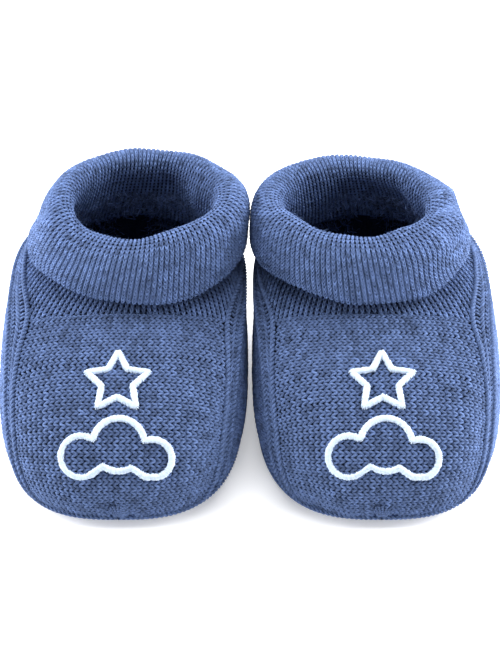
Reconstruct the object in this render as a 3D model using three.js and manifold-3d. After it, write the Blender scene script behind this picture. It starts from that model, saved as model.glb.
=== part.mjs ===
// A pair of newborn baby booties: knitted feet with an instep panel, ribbed turn-down cuffs and embroidered motifs.
// Millimetres. +Z is up, the toes point along -Y, and the origin is on the floor in the middle of the pair.
import * as THREE from "three";
import { LoftGeometry } from "three/addons/geometries/LoftGeometry.js";
import { mergeVertices } from "three/addons/utils/BufferGeometryUtils.js";
import Module from "manifold-3d";

// Driving dimensions of one bootie
const footLength = 90;
const footWidth = 62.4;
const collarHeight = 41.5;
const cuffHeight = 18.6;
const wallThickness = 2.3;
const cuffRollDepth = 8;
const insoleThickness = 3;
const soleThickness = 3.6;

// Fits and trim
const seamGap = 0.3;
const insoleGap = 0.6;
const skinGap = 0.12;
const ridgeHeight = 0.75;
const ridgeWidth = 1.5;
const stripWidth = 2.4;
const threadHeight = 0.7;
const strokeWidth = 1.4;
const starWidth = 18;
const cloudWidth = 28;
const pairGap = 0.6;
const ankleLean = 6.2;

// The turned-down layer is loose below this height share; its hem dips and swells by these amounts
const looseBelow = 0.7;
const hemDip = 1.4;
const hemSwell = 0.42;

// How far the ankle closes in from its base to its fold: front and back (of the length), sides (of the half width)
const mouthFrontInset = 0.041;
const mouthBackInset = 0.079;
const mouthSideInset = 0.2;

// Roundness of the outlines: 2 is an ellipse, more is squarer
const footSquareness = 2.85;
const ankleSquareness = 2;

// Mesh steps
const ringCount = 12;
const ringPoints = 32;
const cuffSteps = 32;
const cloudSteps = 36;
const seamSteps = 26;

// Derived sizes
const halfWidth = footWidth / 2;
const seamLineY = 0.417 * footLength;

// Side profile and half width of the foot, from the sole's edge up to the base of the ankle tube.
// Each row: front y and back y (of the length), front z and back z (of the collar height), half width, lean.
const FOOT_PROFILE = [
  [0.055, 0.94, 0, 0, 0.84, 0],
  [0.018, 0.972, 0.075, 0.06, 0.93, 0],
  [0.001, 0.994, 0.2, 0.2, 0.985, 0],
  [0.006, 1, 0.33, 0.37, 1, 0],
  [0.05, 0.994, 0.49, 0.56, 0.99, 0],
  [0.12, 0.98, 0.63, 0.73, 0.975, 0.05],
  [0.21, 0.958, 0.755, 0.86, 0.95, 0.14],
  [0.315, 0.925, 0.845, 0.925, 0.905, 0.28],
  [0.415, 0.9, 0.9, 0.965, 0.83, 0.42],
  [0.468, 0.885, 0.955, 0.99, 0.745, 0.52],
];

// Seam between the top of the foot and its sides, seen from the side: y of the length, z of the collar height.
const SIDE_SEAM = [
  [0.05, -0.06],
  [0.068, 0.07],
  [0.08, 0.18],
  [0.095, 0.28],
  [0.125, 0.385],
  [0.165, 0.49],
  [0.228, 0.615],
  [0.317, 0.755],
  [0.425, 0.855],
  [0.58, 0.9],
  [0.75, 0.915],
  [0.9, 0.925],
  [1.1, 0.93],
];

// Embroidery on the middle of the instep: place (y of the length, z of the collar height) and slope in degrees.
const STAR = { y: 0.215, z: 0.76, slope: 24, tips: 5, notch: 0.52, bandShare: 1.55 };
const CLOUD = { y: 0.055, z: 0.49, slope: 48, base: -0.2 };

// Lobes of the cloud: centre across, centre up and radius, each of the cloud's width.
const CLOUD_LOBES = [
  [0.31, -0.02, 0.19],
  [0.02, 0.1, 0.25],
  [-0.3, 0, 0.2],
];

// Gathered stitches at the bottom of the toe: height (of the collar height) and half width (of the half width).
const GATHER = { height: 0.09, reach: 0.09 };

// Section of the cuff: height (0 at its base, 1 at its fold) and outward offset (of the roll depth).
const CUFF_LAYER = wallThickness / cuffRollDepth;
const CUFF_SECTION = [
  [-0.14, CUFF_LAYER],
  [-0.14, 0],
  [0.5, 0],
  [0.8, 0.03],
  [0.95, 0.2],
  [1, 0.5],
  [0.93, 0.84],
  [0.76, 0.99],
  [0.45, 1],
  [0.12, 0.93],
  [0.14, 0.93 - CUFF_LAYER],
  [0.45, 1 - CUFF_LAYER],
  [0.74, 0.98 - CUFF_LAYER],
  [0.85, 0.5],
  [0.74, CUFF_LAYER + 0.04],
  [0.5, CUFF_LAYER],
];

const COLOURS = {
  knit: 0x6d80ab,
  rib: 0x5f729f,
  seam: 0x586a97,
  insole: 0x1f2a44,
  thread: 0xdde8f6,
};

const wasm = await Module();
wasm.setup();

// --- Solids ---------------------------------------------------------------------------------------------------

// The same faces with only their positions, and with the vertices that share a place joined.
function joined(geometry) {
  const bare = new THREE.BufferGeometry();
  bare.setAttribute("position", geometry.getAttribute("position").clone());
  bare.setIndex(geometry.index);
  return mergeVertices(bare, 1e-4);
}

function solidOf(geometry) {
  const merged = joined(geometry);
  return new wasm.Manifold(
    new wasm.Mesh({
      numProp: 3,
      vertProperties: new Float32Array(merged.attributes.position.array),
      triVerts: new Uint32Array(merged.index.array),
    }),
  );
}

function geometryOf(solid) {
  const mesh = solid.getMesh();
  const geometry = new THREE.BufferGeometry();
  geometry.setAttribute("position", new THREE.BufferAttribute(new Float32Array(mesh.vertProperties), 3));
  geometry.setIndex(new THREE.BufferAttribute(new Uint32Array(mesh.triVerts), 1));
  geometry.computeVertexNormals();
  return geometry;
}

// Moves every vertex along its smooth normal, which grows or shrinks a rounded closed shape by the distance.
function inflate(geometry, distance) {
  const smooth = joined(geometry);
  smooth.computeVertexNormals();
  const place = smooth.attributes.position;
  const normal = smooth.attributes.normal;
  for (let i = 0; i < place.count; i++) {
    place.setXYZ(
      i,
      place.getX(i) + normal.getX(i) * distance,
      place.getY(i) + normal.getY(i) * distance,
      place.getZ(i) + normal.getZ(i) * distance,
    );
  }
  return smooth;
}

function box(lowX, highX, lowY, highY, lowZ, highZ) {
  const geometry = new THREE.BoxGeometry(highX - lowX, highY - lowY, highZ - lowZ);
  geometry.translate((lowX + highX) / 2, (lowY + highY) / 2, (lowZ + highZ) / 2);
  return solidOf(geometry);
}

// --- Foot -----------------------------------------------------------------------------------------------------

// One level outline of the foot or ankle: a rounded oval whose height runs from its front to its back.
function ovalPoint(oval, angle) {
  const power = 2 / oval.squareness;
  const across = Math.sin(angle);
  const along = -Math.cos(angle);
  const x = oval.lean + oval.half * Math.sign(across) * Math.abs(across) ** power;
  const share = (1 + Math.sign(along) * Math.abs(along) ** power) / 2;
  return new THREE.Vector3(
    x,
    THREE.MathUtils.lerp(oval.frontY, oval.backY, share),
    THREE.MathUtils.lerp(oval.frontZ, oval.backZ, share),
  );
}

function footOvals(inward) {
  const points = (column, scale) => FOOT_PROFILE.map((row) => row[column] * scale);
  const curve = (xs, ys, zs) =>
    new THREE.CatmullRomCurve3(
      xs.map((x, i) => new THREE.Vector3(x, ys[i], zs[i])),
      false,
      "centripetal",
    );
  const spots = FOOT_PROFILE.length - 1;
  const front = curve(points(0, footLength), points(2, collarHeight), points(5, ankleLean));
  const back = curve(points(1, footLength), points(3, collarHeight), points(4, halfWidth));
  return Array.from({ length: ringCount }, (_, i) => {
    const t = i / (ringCount - 1);
    const f = front.getPoint(t);
    const b = back.getPoint(t);
    const squareShare = THREE.MathUtils.smoothstep(t * spots, spots - 4, spots);
    return {
      frontY: f.x,
      frontZ: f.y,
      backY: b.x,
      backZ: b.y,
      half: b.z,
      lean: inward * f.z,
      squareness: THREE.MathUtils.lerp(footSquareness, ankleSquareness, squareShare),
    };
  });
}

// The outline at the base of the ankle tube, raised straight up: it opens the hollow of the foot at the top.
function raised(oval, height) {
  return { ...oval, frontZ: oval.frontZ + height, backZ: oval.backZ + height };
}

function loftOf(ovals) {
  const sections = ovals.map((oval) =>
    Array.from({ length: ringPoints }, (_, i) => ovalPoint(oval, (i / ringPoints) * 2 * Math.PI)),
  );
  return new LoftGeometry(sections, { capStart: true, capEnd: true });
}

// Solids of the foot that every panel, seam and motif is cut from.
function footSolids(inward) {
  const ovals = footOvals(inward);
  const top = ovals[ovals.length - 1];
  const closed = loftOf(ovals);
  const openUp = loftOf([...ovals, raised(top, wallThickness), raised(top, cuffHeight)]);
  const grown = (distance) => solidOf(inflate(closed, distance));
  const hollow = (distance) => solidOf(inflate(openUp, -distance));
  return {
    ovals,
    shell: solidOf(closed).subtract(hollow(wallThickness)),
    hollow: hollow(wallThickness + insoleGap),
    ridgeSkin: grown(skinGap + ridgeHeight).subtract(grown(skinGap)),
    threadSkin: grown(skinGap + threadHeight).subtract(grown(skinGap)),
  };
}

// --- Cutting tools --------------------------------------------------------------------------------------------

// Everything above and ahead of the side seam, with the seam moved down and back by the extra distance.
function upperBlock(extra) {
  const spots = SIDE_SEAM.map(([y, z]) => new THREE.Vector2(y * footLength, z * collarHeight));
  const seam = new THREE.SplineCurve(spots);
  const edge = Array.from({ length: seamSteps + 1 }, (_, i) => {
    const t = i / seamSteps;
    const along = seam.getTangent(t);
    return seam.getPoint(t).add(new THREE.Vector2(along.y, -along.x).multiplyScalar(extra));
  });
  const high = 2 * (collarHeight + cuffHeight);
  const outline = [
    ...edge,
    new THREE.Vector2(edge[seamSteps].x, high),
    new THREE.Vector2(-footLength, high),
    new THREE.Vector2(-footLength, edge[0].y),
  ];
  const wide = 2 * footWidth;
  const block = new THREE.ExtrudeGeometry(new THREE.Shape(outline), { depth: wide, bevelEnabled: false });
  const sideways = new THREE.Matrix4().makeBasis(
    new THREE.Vector3(0, 1, 0),
    new THREE.Vector3(0, 0, 1),
    new THREE.Vector3(1, 0, 0),
  );
  block.translate(0, 0, -wide / 2);
  block.applyMatrix4(sideways);
  return solidOf(block);
}

// Everything on one side of the middle line: side is -1 or +1 along X.
function half(side) {
  const near = seamGap / 2;
  const tall = 3 * collarHeight;
  return side > 0
    ? box(near, footWidth, -footLength, 2 * footLength, -collarHeight, tall)
    : box(-footWidth, -near, -footLength, 2 * footLength, -collarHeight, tall);
}

function above(z) {
  return box(-footWidth, footWidth, -footLength, 2 * footLength, z, 3 * collarHeight);
}

function below(z) {
  return box(-footWidth, footWidth, -footLength, 2 * footLength, -collarHeight, z);
}

function ahead(y) {
  return box(-footWidth, footWidth, -footLength, y, -collarHeight, 3 * collarHeight);
}

function behind(y) {
  return box(-footWidth, footWidth, y, 2 * footLength, -collarHeight, 3 * collarHeight);
}

// --- Panels ---------------------------------------------------------------------------------------------------

function instepPanel(foot) {
  return foot.shell
    .intersect(upperBlock(0))
    .intersect(ahead(seamLineY))
    .intersect(above(soleThickness + seamGap));
}

// The strip reaches the sole only at the toe; behind the instep it stays up on the side of the foot.
function sideStrip(foot, side) {
  const band = upperBlock(seamGap + stripWidth).subtract(upperBlock(seamGap));
  return foot.shell
    .intersect(band)
    .intersect(above(collarHeight / 2).add(ahead(seamLineY)))
    .intersect(half(side))
    .intersect(above(soleThickness + seamGap));
}

function sidePanel(foot, side) {
  return foot.shell
    .subtract(upperBlock(2 * seamGap + stripWidth))
    .intersect(half(side))
    .intersect(above(soleThickness + seamGap));
}

function solePanel(foot) {
  return foot.shell.intersect(below(soleThickness));
}

function insole(foot) {
  return foot.hollow.intersect(below(wallThickness + insoleThickness));
}

// --- Cuff -----------------------------------------------------------------------------------------------------

// The ankle's inner face at a height share, from the base of the tube (0) to the fold (1).
function ankleOval(base, share) {
  const mix = THREE.MathUtils.lerp;
  const inset = wallThickness;
  return {
    frontY: mix(base.frontY + inset, base.frontY + mouthFrontInset * footLength, share),
    backY: mix(base.backY - inset, base.backY - mouthBackInset * footLength, share),
    frontZ: mix(base.frontZ, base.frontZ + cuffHeight, share),
    backZ: mix(base.backZ, base.backZ + cuffHeight, share),
    half: mix(base.half - inset, base.half - mouthSideInset * halfWidth, share),
    lean: mix(base.lean, Math.sign(base.lean) * ankleLean, share),
    squareness: ankleSquareness,
  };
}

// The waves of the loose turned-down edge round the ankle.
function hemWaves(angle) {
  return Math.sin(3 * angle + 0.6) + 0.5 * Math.sin(7 * angle);
}

function cuffSection(base, angle) {
  const turn = 1e-3;
  return CUFF_SECTION.map(([height, offset]) => {
    const oval = ankleOval(base, height);
    const place = ovalPoint(oval, angle);
    const along = ovalPoint(oval, angle + turn).sub(ovalPoint(oval, angle - turn));
    const outward = new THREE.Vector3(along.y, -along.x, 0).normalize();
    const hanging = offset > 2 * CUFF_LAYER ? Math.max(0, looseBelow - height) : 0;
    const spread = offset * cuffRollDepth + hemSwell * hanging * hemWaves(angle);
    const point = place.addScaledVector(outward, spread);
    point.z += hemDip * hanging * hemWaves(angle + 1);
    return point;
  });
}

function turnDownRing(base) {
  const sections = Array.from({ length: cuffSteps + 1 }, (_, i) =>
    cuffSection(base, ((i % cuffSteps) / cuffSteps) * 2 * Math.PI),
  );
  return solidOf(new LoftGeometry(sections, {}));
}

function ribbedCuff(foot) {
  const base = foot.ovals[foot.ovals.length - 1];
  const yoke = foot.shell.intersect(upperBlock(0)).intersect(behind(seamLineY + seamGap));
  return turnDownRing(base).add(yoke.intersect(above(collarHeight / 2)));
}

// --- Seams ----------------------------------------------------------------------------------------------------

function instepSeam(foot, side) {
  const overlap = (ridgeWidth - seamGap) / 2;
  const band = upperBlock(seamGap + overlap).subtract(upperBlock(-overlap));
  return foot.ridgeSkin
    .intersect(band)
    .intersect(half(side))
    .intersect(above(soleThickness + ridgeWidth));
}

function collarSeam(foot) {
  const overlap = (ridgeWidth + seamGap) / 2;
  return foot.ridgeSkin
    .intersect(upperBlock(-overlap - seamGap))
    .intersect(ahead(seamLineY + overlap))
    .intersect(behind(seamLineY - ridgeWidth / 2))
    .intersect(above(collarHeight / 2));
}

function soleSeam(foot) {
  const middle = soleThickness + seamGap / 2;
  return foot.ridgeSkin.intersect(above(middle - ridgeWidth / 2)).intersect(below(middle + ridgeWidth / 2));
}

function heelSeam(foot) {
  const low = soleThickness + seamGap + ridgeWidth;
  return foot.ridgeSkin
    .subtract(upperBlock(seamGap * 2 + ridgeWidth))
    .intersect(box(-ridgeWidth / 2, ridgeWidth / 2, footLength / 2, 2 * footLength, low, 2 * collarHeight));
}

function toeGather(foot) {
  const low = soleThickness + seamGap + ridgeWidth;
  const high = low + GATHER.height * collarHeight;
  const reach = GATHER.reach * halfWidth;
  return foot.ridgeSkin.intersect(box(-reach, reach, -footLength, footLength / 2, low, high));
}

// --- Embroidery -----------------------------------------------------------------------------------------------

function starOutline(radius) {
  return Array.from({ length: STAR.tips * 2 }, (_, i) => {
    const angle = Math.PI / 2 + (i * Math.PI) / STAR.tips;
    const reach = i % 2 ? radius * STAR.notch : radius;
    return new THREE.Vector2(Math.cos(angle) * reach, Math.sin(angle) * reach);
  });
}

// Cloud: a flat base with three round lobes, the middle one highest.
function cloudOutline(width, shrink) {
  const floorY = CLOUD.base * width + shrink;
  const reach = (direction) => {
    const hits = CLOUD_LOBES.map(([x, y, r]) => {
      const centre = new THREE.Vector2(x, y).multiplyScalar(width);
      const radius = r * width - shrink;
      const along = centre.dot(direction);
      const off = centre.lengthSq() - along * along;
      return off < radius * radius ? along + Math.sqrt(radius * radius - off) : 0;
    });
    const lobe = Math.max(...hits);
    return direction.y < 0 ? Math.min(lobe, floorY / direction.y) : lobe;
  };
  return Array.from({ length: cloudSteps }, (_, i) => {
    const angle = (i / cloudSteps) * 2 * Math.PI;
    const direction = new THREE.Vector2(Math.cos(angle), Math.sin(angle));
    return direction.clone().multiplyScalar(reach(direction));
  });
}

// The band between two flat outlines, pressed straight onto the instep where the motif sits.
function stitchedOutline(foot, outer, inner, motif) {
  const shape = new THREE.Shape(outer);
  shape.holes.push(new THREE.Path(inner));
  const depth = halfWidth / 2;
  const block = new THREE.ExtrudeGeometry(shape, { depth, bevelEnabled: false });
  block.translate(0, 0, -depth / 2);
  block.rotateX(THREE.MathUtils.degToRad(motif.slope));
  block.translate(0, motif.y * footLength, motif.z * collarHeight);
  return foot.threadSkin.intersect(solidOf(block));
}

function embroideredStar(foot) {
  const radius = starWidth / 2;
  const inner = radius - strokeWidth * STAR.bandShare;
  return stitchedOutline(foot, starOutline(radius), starOutline(inner), STAR);
}

function embroideredCloud(foot) {
  return stitchedOutline(foot, cloudOutline(cloudWidth, 0), cloudOutline(cloudWidth, strokeWidth), CLOUD);
}

// --- Assembly -------------------------------------------------------------------------------------------------

function addPiece(group, name, solid, colour, roughness) {
  const material = new THREE.MeshStandardMaterial({ color: COLOURS[colour], roughness, metalness: 0 });
  const mesh = new THREE.Mesh(geometryOf(solid), material);
  mesh.name = name;
  group.add(mesh);
}

// side is -1 for the left bootie and +1 for the right one; the cuffs lean towards each other.
function bootie(name, side) {
  const inward = -side;
  const foot = footSolids(inward);
  const group = new THREE.Group();
  group.name = name;
  const add = (piece, solid, colour) => addPiece(group, `${name}_${piece}`, solid, colour, 0.95);
  add("sole_panel", solePanel(foot), "knit");
  add("insole", insole(foot), "insole");
  add("instep_panel", instepPanel(foot), "knit");
  add("ribbed_cuff", ribbedCuff(foot), "rib");
  add("sole_seam", soleSeam(foot), "seam");
  add("heel_seam", heelSeam(foot), "seam");
  add("collar_seam", collarSeam(foot), "seam");
  add("toe_gather", toeGather(foot), "seam");
  add("embroidered_star", embroideredStar(foot), "thread");
  add("embroidered_cloud", embroideredCloud(foot), "thread");
  for (const [sideName, direction] of [["inner", inward], ["outer", side]]) {
    add(`${sideName}_side_strip`, sideStrip(foot, direction), "knit");
    add(`${sideName}_side_panel`, sidePanel(foot, direction), "rib");
    add(`${sideName}_instep_seam`, instepSeam(foot, direction), "seam");
  }
  return group;
}

// How far a bootie reaches from its own middle towards the other one.
function innerReach(group, inward) {
  const extent = new THREE.Box3().setFromObject(group);
  return inward > 0 ? extent.max.x : -extent.min.x;
}

const left = bootie("left", -1);
const right = bootie("right", 1);
const pairOffset = Math.max(innerReach(left, 1), innerReach(right, -1)) + pairGap / 2;
left.position.set(-pairOffset, -footLength / 2, 0);
right.position.set(pairOffset, -footLength / 2, 0);

const pair = new THREE.Group();
pair.name = "baby_booties";
pair.add(left, right);

export default pair;
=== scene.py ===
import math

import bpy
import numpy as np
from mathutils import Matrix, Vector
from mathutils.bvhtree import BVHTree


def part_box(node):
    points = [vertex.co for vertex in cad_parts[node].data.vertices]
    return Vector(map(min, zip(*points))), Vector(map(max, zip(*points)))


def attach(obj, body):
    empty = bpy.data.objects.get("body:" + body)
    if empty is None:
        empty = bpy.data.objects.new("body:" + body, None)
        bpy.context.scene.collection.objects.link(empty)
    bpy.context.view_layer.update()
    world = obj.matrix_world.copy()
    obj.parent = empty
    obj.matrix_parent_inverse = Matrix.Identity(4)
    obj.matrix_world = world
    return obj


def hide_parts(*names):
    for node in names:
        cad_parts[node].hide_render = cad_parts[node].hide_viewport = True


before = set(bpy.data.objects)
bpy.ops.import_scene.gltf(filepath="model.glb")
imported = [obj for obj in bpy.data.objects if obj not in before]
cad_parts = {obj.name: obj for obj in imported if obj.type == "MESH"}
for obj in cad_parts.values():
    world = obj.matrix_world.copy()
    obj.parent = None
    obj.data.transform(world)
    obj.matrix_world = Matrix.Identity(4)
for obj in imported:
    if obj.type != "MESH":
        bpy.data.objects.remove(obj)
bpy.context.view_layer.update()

# A pair of knitted baby booties. Every visible surface is yarn: loops of knitting are laid as tubes over
# smooth surfaces that follow the same sizes as the solid model. Shapes are worked out in millimetres, in
# each bootie's own frame (toe at y = 0, heel at y = FOOT_LENGTH, floor at z = 0), and are set into the
# scene in metres.

MM = 0.001
SEED = 7
rng = np.random.default_rng(SEED)

# Sizes shared with the solid model, in mm
FOOT_LENGTH = 90.0
HALF_WIDTH = 31.2
COLLAR_HEIGHT = 41.5
CUFF_HEIGHT = 18.6
WALL = 2.3
ROLL_DEPTH = 8.0
ANKLE_LEAN = 6.2
INSOLE_GAP = 0.6
STRIP_WIDTH = 2.4
SOLE_TOP = 3.75
INSOLE_TOP = 5.3
COLLAR_SEAM_Y = 0.417 * FOOT_LENGTH

# Where rays to the heel start
HEEL_HUB_Y = 0.6 * FOOT_LENGTH

# Half the distance between the middles of the two booties, read from the frame
heel_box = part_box("right_heel_seam")
PAIR_OFFSET = (heel_box[0].x + heel_box[1].x) / 2 / MM

# Squareness of the level outlines: 2 is an ellipse, and more is squarer
FOOT_SQUARENESS = 2.85
ANKLE_SQUARENESS = 2.0

# How far the ankle closes in up to its fold: front and back (of the length), sides (of the half width)
MOUTH_INSET = (0.041, 0.079, 0.2)

# Side profile, from the sole's edge up to the ankle tube: front y and back y (of the length), front z and
# back z (of the collar's height), half width (of HALF_WIDTH) and lean (of ANKLE_LEAN)
FOOT_PROFILE = np.array([
    [0.055, 0.94, 0, 0, 0.84, 0],
    [0.018, 0.972, 0.075, 0.06, 0.93, 0],
    [0.001, 0.994, 0.2, 0.2, 0.985, 0],
    [0.006, 1, 0.33, 0.37, 1, 0],
    [0.05, 0.994, 0.49, 0.56, 0.99, 0],
    [0.12, 0.98, 0.63, 0.73, 0.975, 0.05],
    [0.21, 0.958, 0.755, 0.86, 0.95, 0.14],
    [0.315, 0.925, 0.845, 0.925, 0.905, 0.28],
    [0.415, 0.9, 0.9, 0.965, 0.83, 0.42],
    [0.468, 0.885, 0.955, 0.99, 0.745, 0.52],
])

# Seam between the foot's top and sides: y (of the length) and z (of the collar's height), made into mm
SIDE_SEAM = np.array([
    [0.05, -0.06],
    [0.068, 0.07],
    [0.08, 0.18],
    [0.095, 0.28],
    [0.125, 0.385],
    [0.165, 0.49],
    [0.228, 0.615],
    [0.317, 0.755],
    [0.425, 0.855],
    [0.58, 0.9],
    [0.75, 0.915],
    [0.9, 0.925],
    [1.1, 0.93],
]) * [FOOT_LENGTH, COLLAR_HEIGHT]

# The cuff's yarn surface up the inside, over the fold and down to the hem: height (of CUFF_HEIGHT) and
# outward offset (of ROLL_DEPTH)
CUFF_PATH = np.array([
    [-0.14, 0.0],
    [0.12, 0.0],
    [0.5, 0.0],
    [0.8, 0.03],
    [0.95, 0.2],
    [1.0, 0.5],
    [0.93, 0.84],
    [0.76, 0.99],
    [0.48, 1.0],
    [0.26, 0.98],
    [0.13, 0.91],
    [0.11, 0.76],
    [0.2, 0.68],
    [0.42, 0.7],
])

# Creases of each cuff: angle from the toe and its width in degrees, place along the path to the hem and
# its width, lean in degrees per path length, and how far the fabric moves out, in mm
CREASES = {
    "left": [
        (154, 10, 0.22, 0.12, 40, -0.6),
        (126, 19, 0.24, 0.14, 30, 2.4),
        (300, 20, 0.62, 0.12, 0, 0.8),
        (268, 7, 0.66, 0.12, -60, -1.0),
        (60, 9, 0.68, 0.1, 50, -0.9),
    ],
    "right": [
        (208, 12, 0.24, 0.12, -20, 1.1),
        (140, 10, 0.22, 0.12, 30, -0.5),
        (120, 14, 0.24, 0.14, 20, 1.6),
        (62, 6, 0.62, 0.13, 90, -0.8),
        (76, 6, 0.6, 0.14, 90, 0.5),
        (90, 6, 0.6, 0.15, 90, -0.9),
        (104, 6, 0.6, 0.14, 90, 0.5),
    ],
}

# Where each fold sinks: angle, width in degrees, and drop in mm
SAGS = {
    "left": [(322, 38, 2.6), (70, 50, -1.2)],
    "right": [(20, 40, 0.8), (300, 40, -0.8), (180, 110, 2.4)],
}

# Where the ribs curve like an S on their way to the hem: angle, width in degrees, and sideways mm
SWAYS = {"left": (272, 34, 1.7), "right": (82, 34, 2.6)}

# Ease of the fabric in mm: waves of the hem, slow swells, puckers at the toe and the insole's crown
HEM_FLARE = 0.42
HEM_DIP = 1.4
CUFF_SWELL = 0.35
INSTEP_SWELL = 0.22
INSOLE_SWELL = 0.2
PUCKER_HEIGHT = 0.45
INSOLE_CROWN = 0.7
SWELL_COUNT = 9

# Columns and rows of stitches of each piece, and the radius of its yarn in mm
INSTEP_STITCHES = (33, 37, 0.37)
SIDE_STITCHES = (24, 66, 0.34)
SOLE_STITCHES = (36, 50, 0.36)
SOLE_EDGE_STITCHES = (150, 8, 0.36)
CUFF_STITCHES = (106, 42, 0.27)
YOKE_STITCHES = (106, 26, 0.28)

# Strip beside the instep: columns of stitches, and in mm the height of a row and the yarn's radius
STRIP_COLUMNS = 2
STRIP_ROW = 1.25
STRIP_YARN = 0.36

# Shape of a loop: how far its legs lean and draw together (of a column), how far its head and foot reach
# (of a row), and in mm the arch of its legs, the rise of its head and the lift of the whole
JERSEY = (-0.04, 0.0, 0.58, 0.24, 0.1, -0.05)
RIB = (-0.05, 0.05, 0.8, 0.3, 0.34, -0.12)

# Column width in mm at which yarn is full, and the least share of its radius in narrower columns
FULL_WALE = 1.45
LEAST_YARN = 0.6

# How far stitches stray (of a row), shares of that aside and outward, and spread of their shade
STRAY = 0.04
STRAY_ASIDE = 0.4
STRAY_OUTWARD = 0.8
STITCH_SHADE = 0.17
CORD_SHADE = 0.1

# Points along one twist, sides round each kind of tube, and the coarser loops of the sole
TWIST_STEPS = 10
CORD_SIDES = 6
THREAD_SIDES = 5
HAIR_SIDES = 3
SOLE_LOOP_STEPS = 8
SOLE_LOOP_SIDES = 4

# Closed sheets: heights of the outer and the inner face over the surface, in mm
PANEL_BACKING = (-0.55, -WALL)
STRIP_BACKING = (-0.45, -0.9)
SOLE_BACKING = (-0.5, -WALL)
SOLE_EDGE_BACKING = (-0.5, -1.2)
CUFF_BACKING = (-0.65, -1.0)
YOKE_BACKING = (-0.6, -1.5)
INSOLE_SHEET = (0.2, -2.3)

# Hairs: radius, shortest and longest, and how far they lean, in mm, and how many stand on each piece
PILE_HAIR = (0.1, (0.7, 1.5), 0.7)
FUZZ_HAIR = (0.025, (0.05, 0.3), 0.6)
FUZZ_START = 0.15
PILE_COUNTS = {"side": 5000, "yoke": 4000, "insole": 5000}
FUZZ_COUNTS = {"instep": 1800, "side": 1200, "cuff": 4000}
OUTWARD = 1
INWARD = -1

# Seam cords: radius of a ply, length of a twist and height over the surface, in mm
SEAM_CORD = (0.4, 2.3, 0.4)
COLLAR_CORD = (0.26, 2.3, 0.1)
GATHER_CORD = (0.22, 1.8, 0.42)
CORD_PLIES = 2
PLY_REACH = 0.85

# Satin stitches, in mm: radius and spacing of the thread, half width of the band and its unevenness,
# slant of a stitch, and height of its ends and of its arch
THREAD_RADIUS = 0.15
THREAD_SPACING = 0.21
HALF_BAND = 0.72
BAND_UNEVENNESS = 0.07
THREAD_SLANT = 0.12
THREAD_LIFT = 0.3
THREAD_ARCH = 0.62
THREAD_POINTS = 9

# The star's reach in mm and its notches (of the reach), and the cloud's width and the inset of its band
# in mm, its flat base, and its lobes as middle x, middle y and radius (of the width)
STAR_REACH = 7.9
STAR_NOTCH = 0.5
CLOUD_WIDTH = 28.0
CLOUD_INSET = 0.7
CLOUD_BASE = 0.2
CLOUD_LOBES = [[0.31, -0.02, 0.19], [0.02, 0.1, 0.25], [-0.3, 0, 0.2]]

# Middle y and z of each outline, and the slope of the foot there in degrees
STAR_PLACE = (0.215 * FOOT_LENGTH, 0.76 * COLLAR_HEIGHT, 24)
CLOUD_PLACE = (0.055 * FOOT_LENGTH, 0.49 * COLLAR_HEIGHT, 48)

# Linear colours, and how light each use of the knit's colour is
KNIT_COLOUR = np.array((0.082, 0.127, 0.262))
# The backing is near black: painted shade that shows in the gaps between the stitches
BACKING_PAINTED_SHADE = (0.014, 0.022, 0.052)
# The fleece is much lighter than its dark navy: painted light in the shade inside the booties
FLEECE_PAINTED_LIGHT_COLOUR = (0.11, 0.16, 0.32)
THREAD_COLOUR = (0.54, 0.64, 0.78)
# The foot takes a darker copy of the knit's colour, painted shade, and the cuff and side ribs a lighter
# copy, painted light
FOOT_PAINTED_SHADE = 0.88
RIB_PAINTED_LIGHT = 1.12
SEAM_SHADE = 0.92

# Spun yarn: scales of its mottle and fibres, weights of its parts, share that brings their sum back to
# 0..1, places of the three shades on the ramp, and depth of the relief in metres
MOTTLE_SCALE = 1100
FIBRE_SCALE = 3600
FIBRE_WEIGHT = 1.4
PLY_WEIGHT = 0.06
PLY_RELIEF = 0.3
MIX_SHARE = 0.294
DARK_STOP = 0.36
MIDDLE_STOP = 0.5
LIGHT_STOP = 0.64
RELIEF_DEPTH = 0.00012

# Camera: lens in mm, elevation in degrees, and in metres its distance and the height of its aim
LENS = 130
CAMERA_ELEVATION = 40
CAMERA_DISTANCE = 0.462
CAMERA_AIM = 0.0250

# Lights: place and size in metres, and power in watts
LIGHTS = {
    "top": ((0.0, 0.15, 0.8), (0.8, 0.8), 8),
    "left": ((-0.7, 0.1, 0.25), (0.5, 0.6), 12.5),
    "right": ((0.7, 0.1, 0.25), (0.5, 0.6), 14.5),
}
LIGHT_AIM = (0, 0, 0.03)
SKY_STRENGTH = 0.5
FLOOR_GLOW = 0.35

# Points of a finely read curve, and levels and angles of the foot's surface
FINE = 400
FOOT_LEVELS = 160
FOOT_ANGLES = 361
SMOOTHING_ROUNDS = 3

# Places of the materials on a piece. The insole has fleece alone, in the first place.
YARN_SLOT = 0
BACKING_SLOT = 1
FLEECE_SLOT = 2


# --- Curves and surfaces ---

def unit(vectors):
    """The vectors brought to length 1."""
    return vectors / np.maximum(np.linalg.norm(vectors, axis=-1, keepdims=True), 1e-9)


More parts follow.
